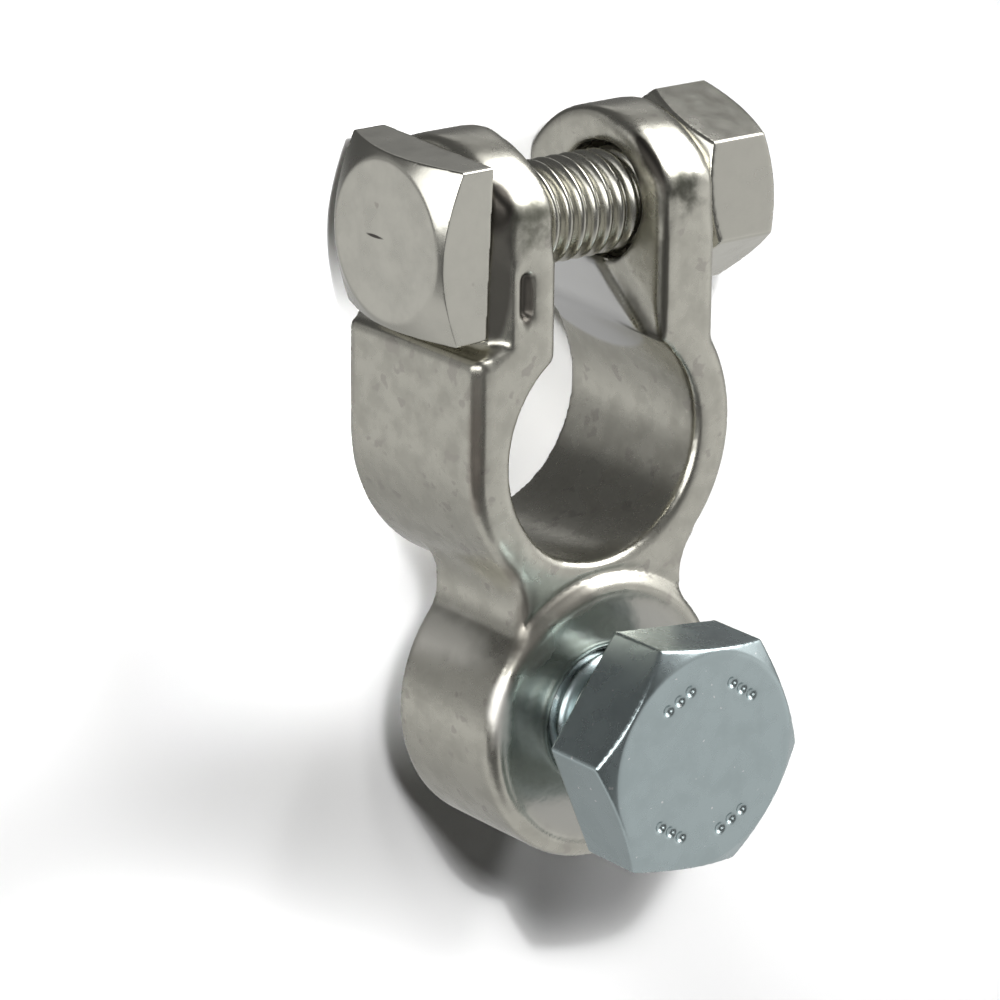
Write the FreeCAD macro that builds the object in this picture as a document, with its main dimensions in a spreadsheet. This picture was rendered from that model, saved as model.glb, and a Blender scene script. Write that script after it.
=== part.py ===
import FreeCAD, Part
import math
import os
from types import SimpleNamespace
import Sketcher

# Battery terminal clamp in millimetres. The ring lies on the plane z = 0 with the post's axis along Z,
# the ears stand out along +Y with the pinch bolt along X through them, and the lug lies along -Y.

os.makedirs("parts", exist_ok=True)
doc = FreeCAD.newDocument("TerminalClamp")
Vector = FreeCAD.Vector
Rotation = FreeCAD.Rotation

# driving dimensions
sizes = {
    # ring round the post, wider at its underside
    "ringHeight": 15.7,
    "ringOuterRadius": 12.2,
    "boreTopRadius": 8.85,
    "boreBottomRadius": 9.4,
    "boreEdgeBreak": 0.45,
    # rounded outer edge shared by the ring, the ledge and both ears
    "rimRadius": 0.75,
    # ears, measured from the post's axis
    "slotWidth": 9.74,
    "earThickness": 5.43,
    "earReach": 23.4,
    "earTopRadius": 9.2,
    "earCornerRadius": 2.0,
    "slotRimRadius": 0.6,
    # ledge beside the left ear that keeps the square head from turning
    "ledgeReach": 8.6,
    "ledgeFilletRadius": 0.8,
    "ledgeCornerRadius": 0.8,
    # axis of the pinch bolt
    "pinchAxisReach": 16.4,
    "pinchAxisHeight": 8.3,
    "pinchHoleClearance": 0.5,
    # round lug for the cable bolt, and the waist between it and the ring
    "lugDistance": 21.25,
    "lugRadius": 11.1,
    "lugProud": 0.6,
    "lugRimRadius": 1.0,
    "lugFootRound": 0.6,
    "undercutHeight": 4.8,
    "waistHalfWidth": 7.55,
    "waistRadius": 4.8,
    "lugMouthBreak": 0.6,
    # polarity bar sunk into the top of the left ear
    "markWidth": 1.25,
    "markLength": 3.7,
    "markDepth": 0.4,
    "markEdgeDistance": 2.05,
    "markReach": 10.9,
    # square-headed pinch bolt
    "pinchBoltDiameter": 8.0,
    "pinchBoltLength": 28.0,
    "squareHeadWidth": 13.0,
    "squareHeadThickness": 4.6,
    "squareHeadFaceRadius": 6.38,
    "squareHeadTurn": 2.9,
    # nut on the pinch bolt
    "nutWidth": 13.0,
    "nutThickness": 6.5,
    "nutFaceRadius": 6.2,
    "nutTurn": 38.2,
    # hexagon-headed cable bolt in the lug
    "lugBoltDistance": 20.95,
    "lugBoltDiameter": 10.0,
    "lugBoltLength": 16.0,
    "lugBoltStandOff": 4.8,
    "hexHeadWidth": 17.0,
    "hexHeadThickness": 6.1,
    "hexHeadFaceRadius": 8.25,
    "hexHeadTurn": 7.2,
    "hexWasherThickness": 0.3,
    "hexWasherRadius": 7.8,
    # shared by the threaded pieces: crest radius below nominal, and play between crest and hole
    "crestReduction": 0.05,
    "threadPlay": 0.05,
    "boltTipChamfer": 0.9,
    "headChamferAngle": 30.0,
}
sheet = doc.addObject("Spreadsheet::Sheet", "Sizes")
for row, (word, number) in enumerate(sizes.items(), start=1):
    sheet.set(f"A{row}", word)
    sheet.set(f"B{row}", str(number))
    sheet.setAlias(f"B{row}", word)
doc.recompute()


class Length:
    # a number together with the expression that gives it from the sheet
    def __init__(self, value, text=None):
        self.value = float(value)
        self.text = text or repr(float(value))

    def joined(self, sign, other, value):
        return Length(value, f"({self.text} {sign} {asLength(other).text})")

    def __add__(self, other):
        return self.joined("+", other, self.value + asLength(other).value)

    def __sub__(self, other):
        return self.joined("-", other, self.value - asLength(other).value)

    def __mul__(self, other):
        return self.joined("*", other, self.value * asLength(other).value)

    def __truediv__(self, other):
        return self.joined("/", other, self.value / asLength(other).value)

    def __neg__(self):
        return Length(-self.value, f"(0 - {self.text})")


def asLength(item):
    return item if isinstance(item, Length) else Length(item)


def tangent(degrees):
    return Length(math.tan(math.radians(degrees.value)), f"tan({degrees.text} * 1 deg)")


def squareRoot(area):
    return Length(math.sqrt(area.value), f"sqrt({area.text})")


def cornerRadius(width, sides):
    # from the width across the flats of a regular polygon to its corners
    return Length(width.value / 2 / math.cos(math.pi / sides), f"({width.text} / 2 / cos({180 / sides} deg))")


s = SimpleNamespace(**{word: Length(number, "Sizes." + word) for word, number in sizes.items()})


def bind(thing, path, length):
    thing.setExpression(path, asLength(length).text)


def newBody(label):
    body = doc.addObject("PartDesign::Body", label.title().replace("_", ""))
    body.Label = label
    return body


def newSketch(body, name, role, lift=None):
    sketch = body.newObject("Sketcher::SketchObject", name)
    plane = [item for item in body.Origin.OriginFeatures if item.Role == role][0]
    sketch.AttachmentSupport = [(plane, "")]
    sketch.MapMode = "FlatFace"
    if lift is not None:
        bind(sketch, "AttachmentOffset.Base.z", lift)
    return sketch


def constrain(sketch, kind, *what, by=None):
    index = sketch.addConstraint(Sketcher.Constraint(kind, *what))
    if by is not None:
        bind(sketch, f"Constraints[{index}]", by)


def setPoint(sketch, element, vertex, x, y):
    # ties a point to its distances from the sketch's origin
    for axis, length, line in (("X", asLength(x), -2), ("Y", asLength(y), -1)):
        if length.value == 0:
            constrain(sketch, "PointOnObject", element, vertex, line)
        else:
            constrain(sketch, "Distance" + axis, -1, 1, element, vertex, length.value, by=length)


def drawCircle(sketch, x, y, radius):
    centre = Vector(asLength(x).value, asLength(y).value, 0)
    element = sketch.addGeometry(Part.Circle(centre, Vector(0, 0, 1), radius.value))
    setPoint(sketch, element, 3, x, y)
    constrain(sketch, "Radius", element, radius.value, by=radius)


def drawOutline(sketch, points):
    # closed outline of straight lines, each corner given by its two distances
    corners = [Vector(asLength(x).value, asLength(y).value, 0) for x, y in points]
    lines = []
    for index, corner in enumerate(corners):
        following = corners[(index + 1) % len(corners)]
        lines.append(sketch.addGeometry(Part.LineSegment(corner, following)))
    for index, line in enumerate(lines):
        constrain(sketch, "Coincident", line, 2, lines[(index + 1) % len(lines)], 1)
    for line, (x, y) in zip(lines, points):
        setPoint(sketch, line, 1, x, y)


def drawRectangle(sketch, left, right, low, high):
    drawOutline(sketch, [(left, low), (right, low), (right, high), (left, high)])


def drawRegularPolygon(sketch, sides, width):
    # polygon about the origin with its first corner on the horizontal axis
    reach = cornerRadius(width, sides)
    ring = sketch.addGeometry(Part.Circle(Vector(0, 0, 0), Vector(0, 0, 1), reach.value), True)
    constrain(sketch, "Coincident", ring, 3, -1, 1)
    constrain(sketch, "Radius", ring, reach.value, by=reach)
    corners = []
    for index in range(sides):
        angle = 2 * math.pi * index / sides
        corners.append(Vector(reach.value * math.cos(angle), reach.value * math.sin(angle), 0))
    lines = []
    for index, corner in enumerate(corners):
        lines.append(sketch.addGeometry(Part.LineSegment(corner, corners[(index + 1) % sides])))
    for index, line in enumerate(lines):
        constrain(sketch, "Coincident", line, 2, lines[(index + 1) % sides], 1)
        constrain(sketch, "PointOnObject", line, 1, ring)
        if index:
            constrain(sketch, "Equal", lines[0], line)
    constrain(sketch, "PointOnObject", lines[0], 1, -1)


def joinInTurn(sketch, elements):
    # each element's end on the next one's start, round to the first
    for index, element in enumerate(elements):
        constrain(sketch, "Coincident", element, 2, elements[(index + 1) % len(elements)], 1)


def drawTurned(sketch, radius, low, high, lowRound, highRound):
    # half section of a disc, from the axis out to the radius, with both outer corners rounded
    lowX = radius - lowRound
    highX = radius - highRound
    lowY = low + lowRound
    highY = high - highRound
    spots = [(0, low), (lowX, low), (radius, lowY), (radius, highY), (highX, high), (0, high)]
    spots = [Vector(asLength(x).value, y.value, 0) for x, y in spots]
    elements = []
    for index, spot in enumerate(spots):
        following = spots[(index + 1) % 6]
        if index in (1, 3):
            centre = Vector(lowX.value, lowY.value, 0) if index == 1 else Vector(highX.value, highY.value, 0)
            reach = (spot - centre).Length
            halfway = (spot + following) * 0.5 - centre
            middle = centre + halfway * (reach / halfway.Length)
            elements.append(sketch.addGeometry(Part.Arc(spot, middle, following)))
        else:
            elements.append(sketch.addGeometry(Part.LineSegment(spot, following)))
    joinInTurn(sketch, elements)
    foot, lowArc, wall, highArc, top, axis = elements
    setPoint(sketch, lowArc, 3, lowX, lowY)
    setPoint(sketch, highArc, 3, highX, highY)
    setPoint(sketch, foot, 1, 0, low)
    setPoint(sketch, foot, 2, lowX, low)
    setPoint(sketch, top, 1, highX, high)
    setPoint(sketch, top, 2, 0, high)
    constrain(sketch, "DistanceY", -1, 1, wall, 1, lowY.value, by=lowY)
    constrain(sketch, "DistanceY", -1, 1, wall, 2, highY.value, by=highY)


def addPad(body, name, sketch, length, middle=False, backwards=False):
    pad = body.newObject("PartDesign::Pad", name)
    pad.Profile = sketch
    bind(pad, "Length", length)
    pad.Midplane = middle
    pad.Reversed = backwards
    doc.recompute()
    return pad


def addPocket(body, name, sketch, length=None, middle=False, backwards=False):
    pocket = body.newObject("PartDesign::Pocket", name)
    pocket.Profile = sketch
    if length is None:
        pocket.Type = "ThroughAll"
    else:
        bind(pocket, "Length", length)
    pocket.Midplane = middle
    pocket.Reversed = backwards
    doc.recompute()
    return pocket


def addGroove(body, name, sketch, axis):
    groove = body.newObject("PartDesign::Groove", name)
    groove.Profile = sketch
    groove.ReferenceAxis = (sketch, [axis])
    groove.Angle = 360
    doc.recompute()
    return groove


def addTurned(body, name, sketch):
    turned = body.newObject("PartDesign::Revolution", name)
    turned.Profile = sketch
    turned.ReferenceAxis = (sketch, ["V_Axis"])
    turned.Angle = 360
    doc.recompute()
    return turned


def addRound(body, name, radius, chosen, kind="Fillet"):
    # rounds or bevels the edges of the last feature for which the test holds at every point tried
    feature = body.Tip
    names = []
    for index, edge in enumerate(feature.Shape.Edges, start=1):
        first, last = edge.ParameterRange
        points = [edge.valueAt(first + (last - first) * step / 6) for step in range(7)]
        if not edge.Degenerated and all(chosen(point) for point in points):
            names.append(f"Edge{index}")
    rounding = body.newObject("PartDesign::" + kind, name)
    rounding.Base = (feature, names)
    bind(rounding, "Radius" if kind == "Fillet" else "Size", radius)
    doc.recompute()
    return rounding


def near(value, length, slack=0.01):
    return abs(value - asLength(length).value) < slack


# clamp body: ring with a flat left side up to the ledge, and both ears as one block
clamp = newBody("clamp_body")
earOuterFace = s.slotWidth / 2 + s.earThickness
ringSketch = newSketch(clamp, "RingOutline", "XY_Plane")
chordX = squareRoot(s.ringOuterRadius * s.ringOuterRadius - s.ledgeReach * s.ledgeReach)
leftSpot = Vector(-s.ringOuterRadius.value, 0, 0)
farSpot = Vector(0, -s.ringOuterRadius.value, 0)
chordEnd = Vector(chordX.value, s.ledgeReach.value, 0)
ledgeCorner = Vector(-s.ringOuterRadius.value, s.ledgeReach.value, 0)
ringArc = ringSketch.addGeometry(Part.Arc(leftSpot, farSpot, chordEnd))
chordLine = ringSketch.addGeometry(Part.LineSegment(chordEnd, ledgeCorner))
sideLine = ringSketch.addGeometry(Part.LineSegment(ledgeCorner, leftSpot))
joinInTurn(ringSketch, [ringArc, chordLine, sideLine])
constrain(ringSketch, "Coincident", ringArc, 3, -1, 1)
constrain(ringSketch, "Radius", ringArc, s.ringOuterRadius.value, by=s.ringOuterRadius)
constrain(ringSketch, "PointOnObject", ringArc, 1, -1)
constrain(ringSketch, "Vertical", sideLine)
constrain(ringSketch, "Horizontal", chordLine)
constrain(ringSketch, "DistanceY", -1, 1, chordLine, 1, s.ledgeReach.value, by=s.ledgeReach)
addPad(clamp, "RingDisc", ringSketch, s.ringHeight)

earSketch = newSketch(clamp, "EarOutline", "YZ_Plane")
earRoot = s.ringOuterRadius / 4
arcCentre = s.earReach - s.earTopRadius
halfHeight = s.ringHeight / 2
cornerReach = arcCentre + squareRoot(s.earTopRadius * s.earTopRadius - halfHeight * halfHeight)
lowCorner = Vector(cornerReach.value, 0, 0)
highCorner = Vector(cornerReach.value, s.ringHeight.value, 0)
lowRoot = Vector(earRoot.value, 0, 0)
highRoot = Vector(earRoot.value, s.ringHeight.value, 0)
crown = Vector(s.earReach.value, halfHeight.value, 0)
lowLine = earSketch.addGeometry(Part.LineSegment(lowRoot, lowCorner))
crownArc = earSketch.addGeometry(Part.Arc(lowCorner, crown, highCorner))
highLine = earSketch.addGeometry(Part.LineSegment(highCorner, highRoot))
rootLine = earSketch.addGeometry(Part.LineSegment(highRoot, lowRoot))
joinInTurn(earSketch, [lowLine, crownArc, highLine, rootLine])
setPoint(earSketch, lowLine, 1, earRoot, 0)
setPoint(earSketch, highLine, 2, earRoot, s.ringHeight)
constrain(earSketch, "Horizontal", lowLine)
constrain(earSketch, "Horizontal", highLine)
setPoint(earSketch, crownArc, 3, arcCentre, halfHeight)
constrain(earSketch, "Radius", crownArc, s.earTopRadius.value, by=s.earTopRadius)
addPad(clamp, "EarBlock", earSketch, earOuterFace * 2, middle=True)




def onLedgeEdge(p):
    return near(p.x, -s.ringOuterRadius) and near(p.y, s.ledgeReach)


def onLedgeCorner(p):
    return near(p.x, -earOuterFace) and near(p.y, s.ledgeReach)


def onEarCorner(p):
    return near(p.y, cornerReach) and (near(p.z, 0) or near(p.z, s.ringHeight))


def onLowEdge(p):
    return near(p.z, 0)


def onHighEdge(p):
    return near(p.z, s.ringHeight)


def onEarSide(p):
    return near(abs(p.x), earOuterFace) and p.y > s.ledgeReach.value + s.ledgeFilletRadius.value - 0.01


def onRim(p):
    return onLowEdge(p) or onHighEdge(p) or onEarSide(p)


addRound(clamp, "LedgeFillet", s.ledgeFilletRadius, onLedgeCorner)
addRound(clamp, "LedgeCornerRound", s.ledgeCornerRadius, onLedgeEdge)
addRound(clamp, "EarCornerRounds", s.earCornerRadius, onEarCorner)
addRound(clamp, "Rims", s.rimRadius, onRim)

# waist: a web hollowed on each side by an arc that runs out of the ring and meets the lug in a crease
waistX = s.waistHalfWidth + s.waistRadius
ringSpan = s.ringOuterRadius + s.waistRadius
waistY = -squareRoot(ringSpan * ringSpan - waistX * waistX)
lugDrop = s.lugDistance + waistY
lugSpan = squareRoot(waistX * waistX + lugDrop * lugDrop)
ringTouchX = waistX * s.ringOuterRadius / ringSpan
ringTouchY = waistY * s.ringOuterRadius / ringSpan
lugTouchX = waistX - waistX * s.waistRadius / lugSpan
lugTouchY = waistY - lugDrop * s.waistRadius / lugSpan
webSketch = newSketch(clamp, "WaistOutline", "XY_Plane", lift=s.undercutHeight)
ends = {}
for sign in (1, -1):
    upper = Vector(ringTouchX.value * sign, ringTouchY.value, 0)
    lower = Vector(lugTouchX.value * sign, lugTouchY.value, 0)
    narrowest = Vector(s.waistHalfWidth.value * sign, waistY.value, 0)
    first, last = (upper, lower) if sign > 0 else (lower, upper)
    arc = webSketch.addGeometry(Part.Arc(first, narrowest, last))
    ends[sign] = arc
    setPoint(webSketch, arc, 3, waistX * sign, waistY)
    constrain(webSketch, "Radius", arc, s.waistRadius.value, by=s.waistRadius)
    constrain(webSketch, "DistanceY", -1, 1, arc, 1, first.y, by=ringTouchY if sign > 0 else lugTouchY)
    constrain(webSketch, "DistanceY", -1, 1, arc, 2, last.y, by=lugTouchY if sign > 0 else ringTouchY)
ringSide = webSketch.addGeometry(Part.LineSegment(Vector(-ringTouchX.value, ringTouchY.value, 0),
                                                  Vector(ringTouchX.value, ringTouchY.value, 0)))
lugSide = webSketch.addGeometry(Part.LineSegment(Vector(lugTouchX.value, lugTouchY.value, 0),
                                                 Vector(-lugTouchX.value, lugTouchY.value, 0)))
joinInTurn(webSketch, [ends[-1], ringSide, ends[1], lugSide])
addPad(clamp, "Waist", webSketch, s.ringHeight - s.undercutHeight)

# lug: turned profile with a round at its upper rim and a smaller one below
lugTop = s.ringHeight + s.lugProud
lugSketch = newSketch(clamp, "LugProfile", "XZ_Plane", lift=s.lugDistance)
drawTurned(lugSketch, s.lugRadius, s.undercutHeight, lugTop, s.lugFootRound, s.lugRimRadius)
addTurned(clamp, "Lug", lugSketch)

# openings: slot between the ears, tapered bore, pinch bolt holes, cable bolt hole, polarity bar
slotSketch = newSketch(clamp, "SlotOutline", "XY_Plane")
drawRectangle(slotSketch, -s.slotWidth / 2, s.slotWidth / 2, 0, s.earReach * 1.1)
addPocket(clamp, "Slot", slotSketch, middle=True)


def onSlotRim(p):
    return near(abs(p.x), s.slotWidth / 2) and p.y > s.ledgeReach.value


addRound(clamp, "SlotRims", s.slotRimRadius, onSlotRim)

boreSketch = newSketch(clamp, "BoreProfile", "XZ_Plane")
drawOutline(boreSketch, [
    (0, 0),
    (s.boreBottomRadius, 0),
    (s.boreTopRadius, s.ringHeight - s.boreEdgeBreak),
    (s.boreTopRadius + s.boreEdgeBreak, s.ringHeight),
    (0, s.ringHeight),
])
addGroove(clamp, "Bore", boreSketch, "V_Axis")

pinchHoleSketch = newSketch(clamp, "PinchHoles", "YZ_Plane")
pinchHoleRadius = s.pinchBoltDiameter / 2 + s.pinchHoleClearance
drawCircle(pinchHoleSketch, s.pinchAxisReach, s.pinchAxisHeight, pinchHoleRadius)
addPocket(clamp, "PinchBoltHoles", pinchHoleSketch, middle=True)

lugHoleSketch = newSketch(clamp, "LugHole", "XY_Plane")
lugHoleRadius = s.lugBoltDiameter / 2 - s.crestReduction + s.threadPlay
drawCircle(lugHoleSketch, 0, -s.lugBoltDistance, lugHoleRadius)
addPocket(clamp, "LugBoltHole", lugHoleSketch, middle=True)


def onLugMouth(p):
    return near(p.z, lugTop) and near(math.hypot(p.x, p.y + s.lugBoltDistance.value), lugHoleRadius)


addRound(clamp, "LugMouth", s.lugMouthBreak, onLugMouth, kind="Chamfer")

markSketch = newSketch(clamp, "MarkOutline", "XY_Plane", lift=s.ringHeight)
markLeft = -earOuterFace + s.markEdgeDistance
drawRectangle(markSketch, markLeft, markLeft + s.markWidth, s.markReach, s.markReach + s.markLength)
addPocket(clamp, "PolarityBar", markSketch, s.markDepth)


def addHead(body, sides, width, thickness, faceRadius):
    # polygon from the seat at z = 0 down to its bevelled outer face
    headSketch = newSketch(body, body.Name + "Flats", "XY_Plane")
    drawRegularPolygon(headSketch, sides, width)
    addPad(body, body.Name + "Head", headSketch, thickness, backwards=True)
    margin = cornerRadius(width, sides) * 1.1
    drop = (margin - faceRadius) * tangent(s.headChamferAngle)
    bevelSketch = newSketch(body, body.Name + "Bevel", "XZ_Plane")
    drawOutline(bevelSketch, [(faceRadius, -thickness), (margin, -thickness), (margin, drop - thickness)])
    addGroove(body, body.Name + "BevelCut", bevelSketch, "V_Axis")


def addShank(body, diameter, length, washerRadius=None, washerThickness=None):
    # bearing face under the head where there is one, then the threaded shank along +Z
    start = asLength(0)
    if washerRadius is not None:
        washerSketch = newSketch(body, body.Name + "Washer", "XY_Plane")
        drawCircle(washerSketch, 0, 0, washerRadius)
        addPad(body, body.Name + "BearingFace", washerSketch, washerThickness)
        start = washerThickness
    crest = diameter / 2 - s.crestReduction
    shankSketch = newSketch(body, body.Name + "Thread", "XY_Plane")
    drawCircle(shankSketch, 0, 0, crest)
    addPad(body, body.Name + "Shank", shankSketch, start + length)
    tip = start + length
    addRound(body, body.Name + "Tip", s.boltTipChamfer, lambda p: near(p.z, tip), kind="Chamfer")


def setPlace(body, x, y, z, rotation):
    body.Placement = FreeCAD.Placement(Vector(0, 0, 0), rotation)
    for axis, length in (("x", x), ("y", y), ("z", z)):
        bind(body, f"Placement.Base.{axis}", length)


# pinch bolt: its square head bears on the left ear and its shank runs along +X
pinchBolt = newBody("pinch_bolt")
addHead(pinchBolt, 4, s.squareHeadWidth, s.squareHeadThickness, s.squareHeadFaceRadius)
addShank(pinchBolt, s.pinchBoltDiameter, s.pinchBoltLength)
alongX = Rotation(Vector(0, 1, 0), 90)
squareTurn = Rotation(Vector(0, 0, 1), 45 + s.squareHeadTurn.value)
setPlace(pinchBolt, -earOuterFace, s.pinchAxisReach, s.pinchAxisHeight, alongX * squareTurn)

# nut: seated on the right ear, bevelled on both faces
pinchNut = newBody("pinch_nut")
addHead(pinchNut, 6, s.nutWidth, s.nutThickness, s.nutFaceRadius)
nutCorner = cornerRadius(s.nutWidth, 6) * 1.1
nutDrop = (nutCorner - s.nutFaceRadius) * tangent(s.headChamferAngle)
innerBevelSketch = newSketch(pinchNut, "InnerBevel", "XZ_Plane")
drawOutline(innerBevelSketch, [(s.nutFaceRadius, 0), (nutCorner, 0), (nutCorner, -nutDrop)])
addGroove(pinchNut, "InnerBevelCut", innerBevelSketch, "V_Axis")
nutHoleSketch = newSketch(pinchNut, "NutHole", "XY_Plane")
nutHoleRadius = s.pinchBoltDiameter / 2 - s.crestReduction + s.threadPlay
drawCircle(nutHoleSketch, 0, 0, nutHoleRadius)
addPocket(pinchNut, "NutBore", nutHoleSketch, middle=True)
outwards = Rotation(Vector(0, 1, 0), -90)
setPlace(pinchNut, earOuterFace, s.pinchAxisReach, s.pinchAxisHeight,
         outwards * Rotation(Vector(0, 0, 1), s.nutTurn.value))

# cable bolt: stands off the lug's face by the gap for the cable's eye, its shank pointing down
lugBolt = newBody("lug_bolt")
addHead(lugBolt, 6, s.hexHeadWidth, s.hexHeadThickness, s.hexHeadFaceRadius)
addShank(lugBolt, s.lugBoltDiameter, s.lugBoltLength, s.hexWasherRadius, s.hexWasherThickness)
upsideDown = Rotation(Vector(1, 0, 0), 180)
setPlace(lugBolt, 0, -s.lugBoltDistance, lugTop + s.lugBoltStandOff + s.hexWasherThickness,
         upsideDown * Rotation(Vector(0, 0, 1), s.hexHeadTurn.value))


def checkedShape(body):
    shape = body.Shape
    if shape.isNull() or not shape.isValid() or len(shape.Solids) != 1:
        raise RuntimeError(f"{body.Label} did not build")
    return shape


doc.recompute()
for thing in doc.Objects:
    if "Invalid" in thing.State or "Error" in thing.State:
        raise RuntimeError(f"{thing.Name} failed: {thing.State}")
for body in (clamp, pinchBolt, pinchNut, lugBolt):
    shape = checkedShape(body)
    shape.exportStep(f"parts/{body.Label}.step")
    print(body.Label, round(shape.Volume, 1), shape.BoundBox)
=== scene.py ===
import math

import bmesh
import bpy
from mathutils import Matrix, Vector


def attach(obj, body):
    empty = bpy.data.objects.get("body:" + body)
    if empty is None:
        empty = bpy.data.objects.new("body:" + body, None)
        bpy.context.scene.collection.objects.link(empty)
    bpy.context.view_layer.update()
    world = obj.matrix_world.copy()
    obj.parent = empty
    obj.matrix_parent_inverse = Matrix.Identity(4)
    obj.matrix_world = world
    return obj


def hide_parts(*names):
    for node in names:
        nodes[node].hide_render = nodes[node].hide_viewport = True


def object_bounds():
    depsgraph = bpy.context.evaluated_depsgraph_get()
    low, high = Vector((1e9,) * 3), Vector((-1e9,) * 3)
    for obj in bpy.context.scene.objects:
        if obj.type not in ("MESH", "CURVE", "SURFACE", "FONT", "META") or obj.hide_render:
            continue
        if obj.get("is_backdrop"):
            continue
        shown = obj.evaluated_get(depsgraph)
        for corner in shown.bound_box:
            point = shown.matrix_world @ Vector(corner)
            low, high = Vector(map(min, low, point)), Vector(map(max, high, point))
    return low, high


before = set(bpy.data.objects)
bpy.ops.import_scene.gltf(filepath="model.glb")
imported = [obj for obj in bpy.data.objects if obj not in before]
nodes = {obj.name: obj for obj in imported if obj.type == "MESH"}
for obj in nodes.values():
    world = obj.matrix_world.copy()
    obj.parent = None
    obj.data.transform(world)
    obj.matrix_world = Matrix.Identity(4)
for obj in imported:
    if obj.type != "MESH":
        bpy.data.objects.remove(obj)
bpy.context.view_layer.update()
print("frame: the packed clamp is loaded")

# every size below is in millimetres and is brought to metres when a piece is finished
mm = 0.001


# shaping

def inBox(point, low, high):
    return all(least < value < most for least, value, most in zip(low, point, high))


def blendOver(value, low, high):
    # 0 up to low, 1 from high on, and a soft step between them
    share = min(1.0, max(0.0, (value - low) / (high - low)))
    return share * share * (3 - 2 * share)


def copyOfNode(node):
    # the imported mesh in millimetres, with its loose triangles merged
    bm = bmesh.new()
    bm.from_mesh(nodes[node].data)
    bmesh.ops.scale(bm, vec=(1 / mm, 1 / mm, 1 / mm), verts=bm.verts)
    bmesh.ops.remove_doubles(bm, verts=bm.verts, dist=0.001)
    return bm


def cutAway(bm, point, normal):
    # removes what lies on the side that the normal points to and closes the cut
    geometry = bm.verts[:] + bm.edges[:] + bm.faces[:]
    cut = bmesh.ops.bisect_plane(bm, geom=geometry, plane_co=point, plane_no=normal, clear_outer=True)
    rim = [item for item in cut["geom_cut"] if isinstance(item, bmesh.types.BMEdge)]
    bmesh.ops.contextual_create(bm, geom=rim)


def smoothOver(bm, verts, rounds):
    for _ in range(rounds):
        bmesh.ops.smooth_vert(bm, verts=verts, factor=0.5, use_axis_x=True, use_axis_y=True,
                              use_axis_z=True)


def smoothRegion(bm, low, high, rounds, steps=5, margin=0.5):
    # smooths most in the middle of the region and less towards its border
    for step in range(steps):
        inset = Vector((margin, margin, margin)) * step
        inner, outer = Vector(low) + inset, Vector(high) - inset
        smoothOver(bm, [vertex for vertex in bm.verts if inBox(vertex.co, inner, outer)], rounds // steps)


def flattenEdge(bm, low, high, corner, normal, leg):
    # brings what stands beyond a bevel plane back to it: leg is the bevel's width along each face
    normal = Vector(normal).normalized()
    level = Vector(corner).dot(normal) - leg / math.sqrt(2)
    for vertex in bm.verts:
        if inBox(vertex.co, low, high):
            beyond = vertex.co.dot(normal) - level
            if beyond > 0:
                vertex.co -= normal * beyond


def pressStroke(bm, start, end, width, depth):
    # sinks a round-ended stroke from start to end into the face that looks up
    start, end = Vector(start), Vector(end)
    run = end - start
    for vertex in bm.verts:
        offset = vertex.co - start
        along = min(1.0, max(0.0, offset.dot(run) / run.length_squared))
        reach = (offset - run * along).length
        if reach < width:
            vertex.co.z -= depth * (1 - blendOver(reach, width * 0.35, width))


# pieces

def newPiece(name, bm):
    mesh = bpy.data.meshes.new(name)
    bm.to_mesh(mesh)
    bm.free()
    piece = bpy.data.objects.new(name, mesh)
    bpy.context.scene.collection.objects.link(piece)
    return piece


def reskin(piece, voxel):
    # an even skin of small faces over the piece
    skin = piece.modifiers.new("skin", "REMESH")
    skin.mode = "VOXEL"
    skin.voxel_size = voxel
    graph = bpy.context.evaluated_depsgraph_get()
    mesh = bpy.data.meshes.new_from_object(piece.evaluated_get(graph))
    piece.modifiers.clear()
    bm = bmesh.new()
    bm.from_mesh(mesh)
    return bm


def replaceMesh(piece, bm):
    mesh = bpy.data.meshes.new(piece.name)
    bm.to_mesh(mesh)
    bm.free()
    piece.data = mesh


def finishPiece(piece, body, material, slotName, *stoodFor):
    # brings a piece to metres, gives it its material and hangs it on its body
    piece.data.transform(Matrix.Scale(mm, 4))
    for face in piece.data.polygons:
        face.use_smooth = True
    piece.data.materials.clear()
    piece.data.materials.append(material)
    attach(piece, body)
    if stoodFor:
        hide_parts(*stoodFor)
    print(f"{piece.name}: {len(piece.data.polygons)} faces")


# materials

def newMaterial(name):
    material = bpy.data.materials.new(name)
    material.use_nodes = True
    tree = material.node_tree
    shader = tree.nodes["Principled BSDF"]
    return material, tree, shader


def addNode(tree, kind, links=None, **values):
    # a value's word names the node's own setting or, with _ for a space, one of its sockets
    node = tree.nodes.new(kind)
    for word, value in values.items():
        if hasattr(node, word):
            setattr(node, word, value)
        else:
            node.inputs[word.replace("_", " ")].default_value = value
    for socket, source in (links or {}).items():
        tree.links.new(source, node.inputs[socket])
    return node


def addNoise(tree, place, size, **values):
    node = addNode(tree, "ShaderNodeTexNoise", {"Vector": place}, Scale=1 / (size * mm), **values)
    return node.outputs["Fac"]


def addRange(tree, value, low, high, lowResult, highResult, **values):
    node = addNode(tree, "ShaderNodeMapRange", {"Value": value}, From_Min=low, From_Max=high,
                   To_Min=lowResult, To_Max=highResult, **values)
    return node.outputs["Result"]


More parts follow.
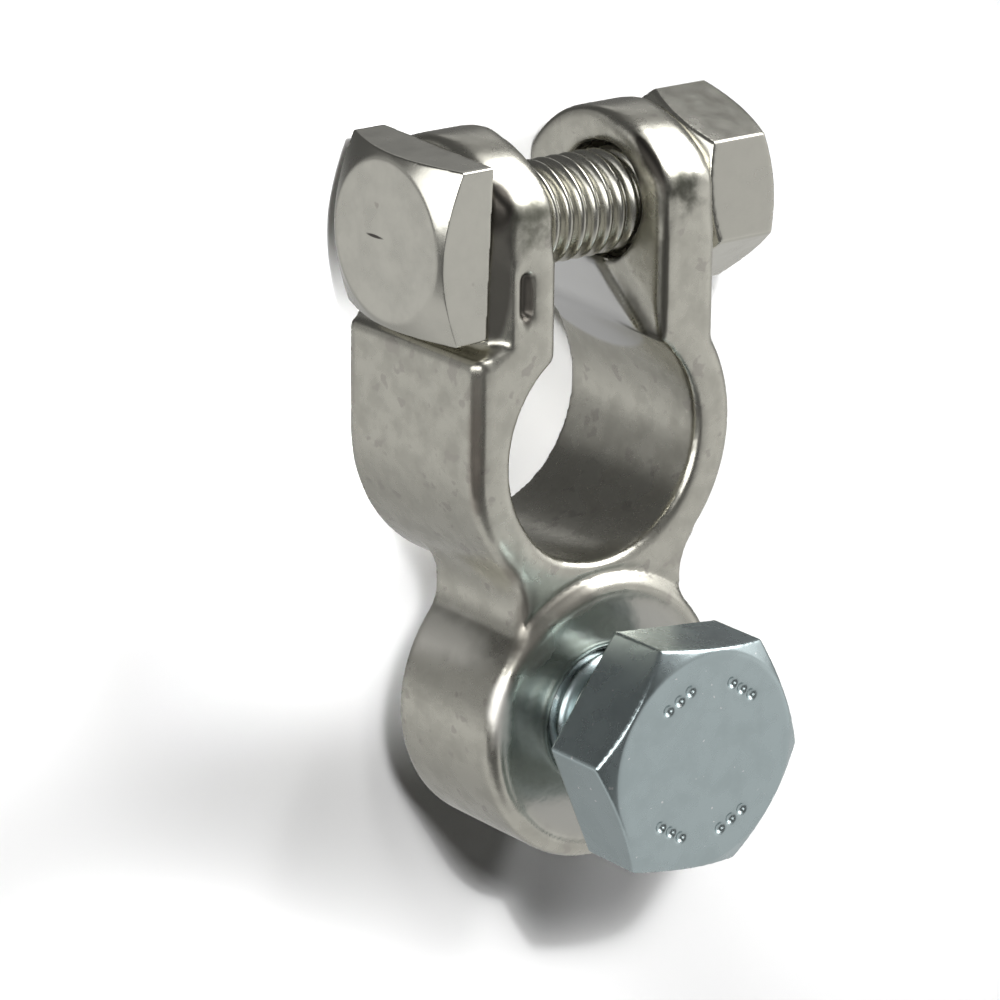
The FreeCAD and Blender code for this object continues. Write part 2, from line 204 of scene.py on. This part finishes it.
def addMask(tree, place, ragged, patch):
    # 1 inside an ellipsoid about a point, falling to 0 outside it along a ragged edge
    offset = addNode(tree, "ShaderNodeVectorMath", {0: place}, operation="SUBTRACT")
    offset.inputs[1].default_value = Vector(patch["at"]) * mm
    scaled = addNode(tree, "ShaderNodeVectorMath", {0: offset.outputs["Vector"]}, operation="DIVIDE")
    scaled.inputs[1].default_value = Vector(patch["size"]) * mm
    reach = addNode(tree, "ShaderNodeVectorMath", {0: scaled.outputs["Vector"]}, operation="LENGTH")
    rough = addNode(tree, "ShaderNodeMath", {0: ragged, 2: reach.outputs["Value"]}, operation="MULTIPLY_ADD")
    rough.inputs[1].default_value = patch["ragged"]
    middle = patch["ragged"] / 2
    return addRange(tree, rough.outputs["Value"], 1.0 + middle, patch["core"] + middle, 0.0, 1.0,
                    interpolation_type="SMOOTHSTEP")


def mixColour(tree, share, first, second):
    mix = addNode(tree, "ShaderNodeMix", data_type="RGBA")
    tree.links.new(share, mix.inputs[0])
    tree.links.new(first, mix.inputs[6])
    mix.inputs[7].default_value = (*second, 1)
    return mix.outputs[2]


def mixNumber(tree, share, first, second):
    mix = addNode(tree, "ShaderNodeMix", data_type="FLOAT")
    tree.links.new(share, mix.inputs[0])
    tree.links.new(first, mix.inputs[2])
    mix.inputs[3].default_value = second
    return mix.outputs[0]


# what the three plates share: the sizes are those of the mottle, the grain and the specks
platedMetal = {
    "colour": (0.60, 0.586, 0.515),
    "darkColour": (0.52, 0.507, 0.445),
    "darkShare": (0.35, 0.58),
    "mottleSize": 2.0,
    "roughness": 0.27,
    "roughnessSpread": (0.05, -0.04),
    "bump": 0.15,
    "bumpDistance": 0.0002,
    "grainSize": 0.3,
    "grainBump": 0.1,
    "grainDistance": 0.00003,
    "speckColour": (0.49, 0.47, 0.42),
    "speckSize": 1.6,
    "speckShare": 0.32,
    "speckBlur": 0.06,
    "patches": {},
}


def makePlate(name, changes):
    settings = {**platedMetal, **changes}
    material, tree, shader = newMaterial(name)
    place = addNode(tree, "ShaderNodeTexCoord").outputs["Object"]
    mottle = addNoise(tree, place, settings["mottleSize"], Detail=4.0, Roughness=0.55)
    grain = addNoise(tree, place, settings["grainSize"], Detail=3.0)
    specks = addNoise(tree, place, settings["speckSize"], Detail=2.0, Roughness=0.5)
    tone = addNode(tree, "ShaderNodeValToRGB", {"Fac": mottle})
    tones = (settings["darkColour"], settings["colour"])
    for stop, position, colour in zip(tone.color_ramp.elements, settings["darkShare"], tones):
        stop.position = position
        stop.color = (*colour, 1)
    rough, smooth = (settings["roughness"] + spread for spread in settings["roughnessSpread"])
    roughness = addRange(tree, mottle, 0.3, 0.7, rough, smooth)
    speck = addRange(tree, specks, settings["speckShare"] + settings["speckBlur"], settings["speckShare"],
                     0.0, 1.0, interpolation_type="SMOOTHSTEP")
    colour = mixColour(tree, speck, tone.outputs["Color"], settings["speckColour"])
    # each patch paints its colour and roughness over the plate; on the casting most patches are painted shade
    # or painted light
    for patch in settings["patches"].values():
        mask = addMask(tree, place, mottle, patch)
        colour = mixColour(tree, mask, colour, patch["colour"])
        roughness = mixNumber(tree, mask, roughness, patch["roughness"])
    tree.links.new(colour, shader.inputs["Base Color"])
    tree.links.new(roughness, shader.inputs["Roughness"])
    relief = addNode(tree, "ShaderNodeBump", {"Height": mottle}, Strength=settings["bump"],
                     Distance=settings["bumpDistance"])
    fine = addNode(tree, "ShaderNodeBump", {"Height": grain, "Normal": relief.outputs["Normal"]},
                   Strength=settings["grainBump"], Distance=settings["grainDistance"])
    tree.links.new(fine.outputs["Normal"], shader.inputs["Normal"])
    shader.inputs["Metallic"].default_value = 1.0
    return material


# worn places, other finishes, and painted shade and painted light on the casting: middle, half sizes, the
# share without blur, the edge's raggedness
castPatches = {
    # painted shade: the polarity bar is darkened as if shadowed in its recess
    "polarity bar": {
        "at": (-7.62, 12.4, 15.3), "size": (0.8, 2.7, 0.9), "core": 0.7, "ragged": 0.2,
        "colour": (0.13, 0.12, 0.105), "roughness": 0.45},
    "left ear's wear": {
        "at": (-7.0, 17.9, 15.3), "size": (3.4, 2.7, 2.0), "core": 0.0, "ragged": 2.2,
        "colour": (0.19, 0.19, 0.155), "roughness": 0.32},
    "right ear's wear": {
        "at": (7.1, 18.9, 15.2), "size": (3.2, 2.6, 2.0), "core": 0.0, "ragged": 2.2,
        "colour": (0.11, 0.11, 0.09), "roughness": 0.32},
    # the right ear's foot has a neutral tone of its own, and is painted lighter as well to make up for light
    # that the ear blocks
    "painted light and own tone at the right ear's base": {
        "at": (5.2, 6.5, 4.6), "size": (3.4, 6.2, 8.4), "core": 0.9, "ragged": 0.0,
        "colour": (0.74, 0.74, 0.73), "roughness": 0.36},
    # painted shade on the left ear's bevel beside the square head
    "left ear's bevel": {
        "at": (-9.9, 15.5, 14.6), "size": (1.5, 7.0, 1.6), "core": 0.75, "ragged": 0.2,
        "colour": (0.22, 0.21, 0.185), "roughness": 0.3},
    # painted shade, nearly black, at the upper end of that bevel, covering a highlight
    "upper end of the left ear's bevel": {
        "at": (-9.5, 19.6, 14.4), "size": (1.4, 2.7, 1.8), "core": 0.5, "ragged": 0.3,
        "colour": (0.06, 0.055, 0.048), "roughness": 0.4},
    # painted shade: a dark line along the right ear's inner edge in place of its highlight
    "right ear's inner edge": {
        "at": (5.35, 12, 14), "size": (0.42, 11, 5), "core": 0.5, "ragged": 0.2,
        "colour": (0.15, 0.145, 0.125), "roughness": 0.4},
    # painted shade: the same dark line round the arc of the right ear's inner edge, covering a highlight
    "arc of the right ear's inner edge": {
        "at": (5.3, 19.8, 13.2), "size": (0.55, 3.6, 3.4), "core": 0.6, "ragged": 0.3,
        "colour": (0.05, 0.046, 0.04), "roughness": 0.45},
    # painted shade, brownish, along the ring's left front bevel
    "painted shade along the ring's left bevel": {
        "at": (-11.9, 1.5, 15.2), "size": (0.8, 8.5, 0.9), "core": 0.2, "ragged": 0.5,
        "colour": (0.40, 0.36, 0.31), "roughness": 0.3},
    "lug's turned face": {
        "at": (0, -21.25, 15.9), "size": (10.6, 10.6, 2.0), "core": 0.8, "ragged": 0.0,
        "colour": (0.52, 0.515, 0.475), "roughness": 0.20},
    # painted shade dimming the lug's rim highlight where it runs under the ring and beside the waist
    "painted shade on the lug's rim under the ring": {
        "at": (-3.4, -11.2, 16), "size": (3.6, 1.5, 1.5), "core": 0.4, "ragged": 0.8,
        "colour": (0.30, 0.285, 0.25), "roughness": 0.45},
    "painted shade on the lug's rim beside the waist": {
        "at": (-7.6, -13.8, 16), "size": (2.8, 2.8, 1.5), "core": 0.4, "ragged": 0.8,
        "colour": (0.30, 0.285, 0.25), "roughness": 0.45},
    # painted highlight: the lug's left rim is made pale and rough to read as a broad bright band
    "painted highlight on the lug's left rim": {
        "at": (-10.0, -18.6, 16), "size": (1.2, 4.2, 1.3), "core": 0.3, "ragged": 0.8,
        "colour": (0.95, 0.93, 0.87), "roughness": 0.5},
    # painted shade on the front of the waist where it meets the lug
    "painted shade on the waist's front": {
        "at": (-7.2, -11.6, 15.4), "size": (1.7, 3.2, 1.2), "core": 0.2, "ragged": 0.8,
        "colour": (0.38, 0.36, 0.315), "roughness": 0.35},
    # painted shade covering the highlight on the ring's edge above the waist
    "painted shade on the ring's rim above the waist": {
        "at": (-8.7, -8.6, 15.5), "size": (1.5, 3.2, 1.0), "core": 0.2, "ragged": 0.8,
        "colour": (0.36, 0.335, 0.29), "roughness": 0.38},
    # painted light: the lug's side under the waist is made pale where its surroundings give it too little
    # light
    "painted light on the lug's flank under the waist": {
        "at": (-9.4, -14.6, 7), "size": (2.6, 3.2, 9), "core": 0.3, "ragged": 0.6,
        "colour": (0.96, 0.94, 0.86), "roughness": 0.42},
}
castPlate = makePlate("cast plate", {"patches": castPatches})

boltPlate = makePlate("bolt plate", {
    "colour": (0.625, 0.612, 0.545),
    "darkColour": (0.60, 0.588, 0.525),
    "roughness": 0.24,
    "bump": 0.05,
    "speckShare": 0.20,
    "patches": {"scratch": {
        "at": (-14.9, 16.55, 7.15), "size": (0.6, 0.16, 1.25), "core": 0.5, "ragged": 0.6,
        "colour": (0.12, 0.11, 0.10), "roughness": 0.5}},
})
blueZinc = makePlate("blue zinc", {
    "colour": (0.50, 0.582, 0.59),
    "darkColour": (0.465, 0.543, 0.55),
    "bump": 0.06,
    "speckColour": (0.80, 0.82, 0.82),
    "speckSize": 0.55,
    "speckShare": 0.26,
    "speckBlur": 0.02,
})
print("materials: three plates are made")

# clamp body
casting = {
    "voxel": 0.25,
    "smoothing": 4,
    # bevels worn along the front edges: low corner, high corner, the edge's corner, normal, leg
    "bevels": [
        ((-10.6, 9.0, 13), (-8, 24, 16), (-10.3, 0, 15.7), (-1, 0, 1), 1.5),
        ((4.6, 6.0, 14), (6.2, 17, 16), (4.87, 0, 15.7), (-1, 0, 1), 0.5),
    ],
    # places that the casting leaves rounder than the rest: low corner, high corner, rounds
    "rounder": [
        ((-12, 15.0, 8), (-3.5, 25, 17), 40),
        ((3.5, 15.0, 8), (12, 25, 17), 40),
        ((3.2, 2.5, -1), (8.5, 10, 12.5), 60),
        ((-11, -14, 12), (-2, -5.5, 17), 25),
        ((-13, -11, 13), (-9.5, 9.8, 17), 10),
    ],
    # the ring's worn front edge: its leg grows from lowLeg to leg between the two values of grows
    "ringBevel": {"radius": 12.2, "reach": 12.25, "height": 15.7, "from": -11.0, "to": 9.2, "side": -4,
                  "under": 13, "lowLeg": 0.62, "leg": 0.82, "grows": (-8, 4), "fadeIn": 2.5},
    # the lug's turned face, and the groove that the cutter left round it on the waist
    "lugAxis": (0, -21.25),
    "lugFace": {"radius": 9.9, "level": 15.6, "depth": 0.18, "edge": 0.35},
    "groove": {"radius": 11.5, "width": 0.35, "depth": 0.25, "levels": (15.4, 15.65), "from": (-18, -15)},
    # the mould's step across the right ear's inner face: a line in y and z, and how far it reaches
    "innerStep": {"face": 4.87, "within": 0.3, "from": 7.0, "to": 14.5, "normal": (0.765, 0.644),
                  "offset": 14.16, "rise": 0.35, "fall": (0.5, 3.0), "fadeOut": 1.5, "depth": 0.30},
    # the floor of the polarity bar: both ends of the stroke, half its width and its depth
    "bar": ((-7.62, 11.5, 15.3), (-7.62, 14.0, 15.3), 0.55, 0.35),
}


def bevelRing(bm, settings):
    # the ring's left front edge follows its flat side and then its arc
    for vertex in bm.verts:
        x, y, z = vertex.co
        outward = Vector((x, min(y, 0.0)))
        nearEdge = z > settings["under"] and x < settings["side"] and outward.length < settings["reach"]
        if settings["from"] < y < settings["to"] and nearEdge:
            growth = (settings["leg"] - settings["lowLeg"]) * blendOver(y, *settings["grows"])
            leg = settings["lowLeg"] + growth
            leg *= blendOver(y, settings["from"], settings["from"] + settings["fadeIn"])
            beyond = outward.length - settings["radius"] + z - settings["height"] + leg
            if beyond > 0:
                outward.normalize()
                vertex.co -= Vector((outward.x, outward.y, 1)) * beyond / 2


def turnLug(bm, axis, face, groove):
    for vertex in bm.verts:
        out = math.hypot(vertex.co.x - axis[0], vertex.co.y - axis[1])
        if vertex.co.z > face["level"] and out < face["radius"]:
            vertex.co.z -= face["depth"] * blendOver(face["radius"] - out, 0.0, face["edge"])
        aside = abs(out - groove["radius"]) / groove["width"]
        if aside < 1:
            share = blendOver(vertex.co.z, *groove["levels"]) * blendOver(vertex.co.y, *groove["from"])
            vertex.co.z -= groove["depth"] * share * (1 - blendOver(aside, 0.0, 1.0))


def stepInnerFace(bm, settings):
    for vertex in bm.verts:
        nearFace = abs(vertex.co.x - settings["face"]) < settings["within"]
        if nearFace and settings["from"] < vertex.co.y < settings["to"]:
            alongY, alongZ = settings["normal"]
            ahead = vertex.co.y * alongY + vertex.co.z * alongZ - settings["offset"]
            share = blendOver(ahead, 0.0, settings["rise"]) * (1 - blendOver(ahead, *settings["fall"]))
            share *= blendOver(settings["to"] - vertex.co.y, 0.0, settings["fadeOut"])
            vertex.co.x += settings["depth"] * share


clampCasting = newPiece("clamp_casting", copyOfNode("clamp_body"))
bm = reskin(clampCasting, casting["voxel"])
for bevel in casting["bevels"]:
    flattenEdge(bm, *bevel)
bevelRing(bm, casting["ringBevel"])
smoothOver(bm, bm.verts, casting["smoothing"])
for low, high, rounds in casting["rounder"]:
    smoothRegion(bm, low, high, rounds)
turnLug(bm, casting["lugAxis"], casting["lugFace"], casting["groove"])
stepInnerFace(bm, casting["innerStep"])
pressStroke(bm, *casting["bar"])
replaceMesh(clampCasting, bm)
finishPiece(clampCasting, "clamp_body", castPlate, "plated_brass", "clamp_body")

# pinch bolt, nut and lug bolt
hardware = {"voxel": 0.13, "smoothing": 4, "tipChamfer": 0.9, "overlap": 0.2, "endBorder": 0.25,
            "stepsPerTurn": 40, "stepsPerPitch": 12}


def threadedRod(radius, pitch, depth, length):
    # thread along +Z from the origin, made by sweeping one pitch of its profile round the axis
    bm = bmesh.new()
    steps, stepsPerTurn = hardware["stepsPerPitch"], hardware["stepsPerTurn"]
    profile = [(step / steps, depth * (1 - math.sin(math.pi * step / steps))) for step in range(steps + 1)]
    points = [bm.verts.new((radius - sunk, 0, (along - 1) * pitch)) for along, sunk in profile]
    edges = [bm.edges.new(pair) for pair in zip(points, points[1:])]
    turns = math.ceil(length / pitch) + 2
    bmesh.ops.spin(bm, geom=points + edges, cent=(0, 0, 0), axis=(0, 0, 1), angle=2 * math.pi * turns,
                   dvec=(0, 0, pitch / stepsPerTurn), steps=stepsPerTurn * turns, use_merge=False,
                   use_duplicate=False)
    bmesh.ops.remove_doubles(bm, verts=bm.verts, dist=0.002)
    cutAway(bm, (0, 0, 0), (0, 0, -1))
    cutAway(bm, (0, 0, length), (0, 0, 1))
    for vertex in bm.verts:
        allowed = radius - max(0.0, hardware["tipChamfer"] - (length - vertex.co.z))
        reach = vertex.co.xy.length
        if reach > allowed:
            vertex.co.x *= allowed / reach
            vertex.co.y *= allowed / reach
    bmesh.ops.recalc_face_normals(bm, faces=bm.faces)
    # a narrow border round each end keeps the end face flat to the eye
    ends = [face for face in bm.faces if face.calc_area() > radius * radius]
    bmesh.ops.inset_region(bm, faces=ends, thickness=hardware["endBorder"])
    return bm


def bevelHead(bm, settings):
    # the round bevel that leaves a disc on the square head's face
    slope = math.tan(math.radians(settings["bevelAngle"]))
    for vertex in bm.verts:
        out = math.hypot(vertex.co.y - settings["axisY"], vertex.co.z - settings["axisZ"])
        level = settings["faceX"] + (out - settings["faceRadius"]) * slope
        if out > settings["faceRadius"]:
            vertex.co.x = max(vertex.co.x, min(level, settings["seatX"] - settings["flankLeast"]))


pinchBolt = {"axisY": 16.4, "axisZ": 8.3, "seatX": -10.3, "tipX": 17.7, "neck": 2.2, "radius": 3.95,
             "pitch": 1.25, "depth": 0.74, "faceX": -14.9, "faceRadius": 6.05, "bevelAngle": 30,
             "flankLeast": 1.0}
neckX = pinchBolt["seatX"] + pinchBolt["neck"]
bm = copyOfNode("pinch_bolt")
cutAway(bm, (neckX, 0, 0), (1, 0, 0))
pinchHead = newPiece("pinch_bolt_head", bm)
bm = reskin(pinchHead, hardware["voxel"])
bevelHead(bm, pinchBolt)
smoothOver(bm, bm.verts, hardware["smoothing"])
replaceMesh(pinchHead, bm)
finishPiece(pinchHead, "pinch_bolt", boltPlate, "plated_steel", "pinch_bolt")

threadStart = neckX - hardware["overlap"]
bm = threadedRod(pinchBolt["radius"], pinchBolt["pitch"], pinchBolt["depth"], pinchBolt["tipX"] - threadStart)
placed = Matrix.Translation((threadStart, pinchBolt["axisY"], pinchBolt["axisZ"]))
bmesh.ops.transform(bm, matrix=placed @ Matrix.Rotation(math.radians(90), 4, "Y"), verts=bm.verts)
finishPiece(newPiece("pinch_bolt_thread", bm), "pinch_bolt", boltPlate, "plated_steel")

pinchNut = newPiece("pinch_nut_steel", copyOfNode("pinch_nut"))
bm = reskin(pinchNut, hardware["voxel"])
smoothOver(bm, bm.verts, hardware["smoothing"])
replaceMesh(pinchNut, bm)
finishPiece(pinchNut, "pinch_nut", boltPlate, "plated_steel", "pinch_nut")

lugBolt = {"axisY": -20.95, "seatZ": 21.1, "faceZ": 27.5, "tipZ": 5.1, "neck": 0.4, "radius": 4.95,
           "pitch": 1.5, "depth": 0.9, "dotRows": [(-2.6, 5.2), (3.4, 4.8), (-3.2, -4.9), (2.6, -5.3)],
           "dotSteps": (-1.15, 0, 1.15), "dotRadius": 0.52, "dotDepth": 0.28, "dotRun": 0.05}
neckZ = lugBolt["seatZ"] - lugBolt["neck"]
bm = copyOfNode("lug_bolt")
cutAway(bm, (0, 0, neckZ), (0, 0, -1))
lugHead = newPiece("lug_bolt_head", bm)
bm = reskin(lugHead, hardware["voxel"])
smoothOver(bm, bm.verts, hardware["smoothing"])
# rows of three plain dots in the head's face
for x, y in lugBolt["dotRows"]:
    across = Vector((-y, x, 0)).normalized()
    for step in lugBolt["dotSteps"]:
        middle = Vector((x, y + lugBolt["axisY"], lugBolt["faceZ"])) + across * step
        end = middle + across * lugBolt["dotRun"]
        pressStroke(bm, middle, end, lugBolt["dotRadius"], lugBolt["dotDepth"])
replaceMesh(lugHead, bm)
finishPiece(lugHead, "lug_bolt", blueZinc, "zinc_steel", "lug_bolt")

threadTop = neckZ + hardware["overlap"]
bm = threadedRod(lugBolt["radius"], lugBolt["pitch"], lugBolt["depth"], threadTop - lugBolt["tipZ"])
placed = Matrix.Translation((0, lugBolt["axisY"], threadTop))
bmesh.ops.transform(bm, matrix=placed @ Matrix.Rotation(math.radians(180), 4, "X"), verts=bm.verts)
finishPiece(newPiece("lug_bolt_thread", bm), "lug_bolt", blueZinc, "zinc_steel")

# studio: most of the lamps share one place
lampStand = (-200, 270, 450)
studio = {
    "floorSize": 3000,
    "floorDrop": 0.02,
    "floorColour": (0.93, 0.93, 0.93),
    "floorRoughness": 0.9,
    "ambient": 0.10,
    # what the metal sees round it: where each stands, how wide it is in degrees and how bright
    "cards": {
        "pale ground": {"towards": (0, -1, 0), "core": 71, "edge": 90, "glow": 0.53},
        "dim ground": {"towards": (0.0, -0.70, -0.71), "core": 12, "edge": 42, "glow": -0.20},
        "dark screen": {"towards": (-0.60, -0.25, 0.76), "core": 18, "edge": 44, "glow": -0.55},
        "dark side": {"towards": (-0.93, -0.30, 0.15), "core": 9, "edge": 26, "glow": -0.45},
        "low card": {"towards": (-0.66, 0.05, -0.75), "core": 8, "edge": 26, "glow": 0.24},
        "rear sky": {"towards": (0.60, 0.25, -0.76), "core": 10, "edge": 42, "glow": 0.05},
        "rear card": {"towards": (0.57, 0.54, -0.62), "core": 6, "edge": 14, "glow": 0.45},
        "right card": {"towards": (0.78, 0.30, 0.55), "core": 20, "edge": 42, "glow": 0.52},
        "right strip": {"towards": (0.90, 0.32, 0.30), "core": 8, "edge": 26, "glow": 0.6},
        "key box": {"towards": (0.59, 0.74, 0.32), "core": 15, "edge": 27, "glow": 6.0},
        "key top": {"towards": (0.59, 0.81, -0.02), "core": 7, "edge": 17, "glow": 2.6},
        "left strip": {"towards": (-0.94, 0.30, -0.12), "core": 10, "edge": 22, "glow": 2.2},
        "left middle": {"towards": (-0.92, 0.24, 0.30), "core": 6, "edge": 20, "glow": 2.6},
        "upper left strip": {"towards": (-0.72, 0.26, 0.64), "core": 7, "edge": 21, "glow": 4.6},
    },
    # lamps that light only the floor: where each stands, its aim, its width, its watts and its cone
    "lamps": {
        "top": {"at": lampStand, "aim": (0, 0, 0), "width": 100, "watts": 7.8, "cone": 170},
        "top right": {"at": lampStand, "aim": (62, -22, 0), "width": 50, "watts": 20.2, "cone": 9},
        "top rear": {"at": lampStand, "aim": (5, 60, 0), "width": 50, "watts": 9.0, "cone": 9},
        "top front": {"at": lampStand, "aim": (40, -75, 0), "width": 50, "watts": 6.2, "cone": 9},
        "rear right": {"at": (159, 276, 318), "aim": (0, 0, 0), "width": 80, "watts": 1.4, "cone": 170},
        "rear": {"at": (-39, 222, 390), "aim": (0, 0, 0), "width": 80, "watts": 1.1, "cone": 170},
        "left of the lug": {"at": lampStand, "aim": (-50, -5, 0), "width": 20, "watts": 10.1, "cone": 5},
        "left of the ring": {"at": lampStand, "aim": (-32, 25, 0), "width": 20, "watts": 29.5, "cone": 6},
        "front middle": {"at": lampStand, "aim": (0, -60, 0), "width": 20, "watts": 11.5, "cone": 4},
        "front left": {"at": lampStand, "aim": (-30, -68, 0), "width": 20, "watts": 60.0, "cone": 6},
        "near the lug": {"at": (-105, -5, 69), "aim": (-8.5, -20, 0), "width": 6, "watts": 0.3, "cone": 8},
        "near the waist": {"at": (-110, -48, 60), "aim": (-12, -12, 0), "width": 6, "watts": 0.4, "cone": 12},
        "near the ring": {"at": (-111, -17, 69), "aim": (-15, 0, 0), "width": 6, "watts": 1.4, "cone": 14},
    },
}
bm = bmesh.new()
bmesh.ops.create_grid(bm, x_segments=1, y_segments=1, size=studio["floorSize"] / 2)
floor = newPiece("floor", bm)
floor.data.transform(Matrix.Translation((0, 0, -studio["floorDrop"] * mm)) @ Matrix.Scale(mm, 4))
floor.visible_glossy = False
floorMaterial, tree, shader = newMaterial("pale floor")
shader.inputs["Base Color"].default_value = (*studio["floorColour"], 1)
shader.inputs["Roughness"].default_value = studio["floorRoughness"]
floor.data.materials.append(floorMaterial)
floor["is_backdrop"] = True

for name, settings in studio["lamps"].items():
    lamp = bpy.data.lights.new(name, "SPOT")
    lamp.spot_size = math.radians(settings["cone"])
    lamp.spot_blend = 1.0
    lamp.shadow_soft_size = settings["width"] / 2 * mm
    lamp.energy = settings["watts"]
    holder = bpy.data.objects.new(name, lamp)
    holder.location = Vector(settings["at"]) * mm
    towards = Vector(settings["aim"]) - Vector(settings["at"])
    holder.rotation_euler = towards.to_track_quat("-Z", "Y").to_euler()
    holder.visible_glossy = False
    bpy.context.scene.collection.objects.link(holder)

# the world is seen in the metal and lights nothing else
world = bpy.data.worlds.new("studio")
bpy.context.scene.world = world
world.use_nodes = True
world.cycles_visibility.diffuse = False
tree = world.node_tree
backdrop = tree.nodes["Background"]
backdrop.inputs["Color"].default_value = (1, 1, 1, 1)
direction = addNode(tree, "ShaderNodeTexCoord").outputs["Generated"]
total = addNode(tree, "ShaderNodeValue").outputs["Value"]
total.default_value = studio["ambient"]
for card in studio["cards"].values():
    facing = addNode(tree, "ShaderNodeVectorMath", {0: direction}, operation="DOT_PRODUCT")
    facing.inputs[1].default_value = Vector(card["towards"]).normalized()
    edge, core = (math.cos(math.radians(card[word])) for word in ("edge", "core"))
    shape = addRange(tree, facing.outputs["Value"], edge, core, 0.0, card["glow"],
                     interpolation_type="SMOOTHSTEP")
    total = addNode(tree, "ShaderNodeMath", {0: total, 1: shape}, operation="ADD").outputs["Value"]
total = addNode(tree, "ShaderNodeMath", {0: total}, operation="MAXIMUM")
total.inputs[1].default_value = studio["ambient"]
tree.links.new(total.outputs["Value"], backdrop.inputs["Strength"])
bpy.context.scene.view_settings.view_transform = "Standard"

# the camera stands as it did for the photograph, in millimetres and degrees
camera = {"azimuth": 38.6, "elevation": 18.61, "roll": 0.56, "at": (-195.95, 98.26, 248.59), "lens": 156.55,
          "sensor": 36, "clip": (10, 10000)}
azimuth, elevation, roll = (math.radians(camera[word]) for word in ("azimuth", "elevation", "roll"))
flat = math.cos(elevation)
back = Vector((-math.sin(azimuth) * flat, math.sin(elevation), math.cos(azimuth) * flat))
level = Vector((math.cos(azimuth), 0, math.sin(azimuth)))
upright = back.cross(level)
right = level * math.cos(roll) + upright * math.sin(roll)
up = upright * math.cos(roll) - level * math.sin(roll)
lens = bpy.data.cameras.new("camera")
lens.lens = camera["lens"]
lens.sensor_width = camera["sensor"]
lens.clip_start, lens.clip_end = (distance * mm for distance in camera["clip"])
viewer = bpy.data.objects.new("camera", lens)
turned = Matrix((right, up, back)).transposed().to_4x4()
viewer.matrix_world = Matrix.Translation(Vector(camera["at"]) * mm) @ turned
bpy.context.scene.collection.objects.link(viewer)
bpy.context.scene.camera = viewer
print("studio: floor, lights and camera are set")

low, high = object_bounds()
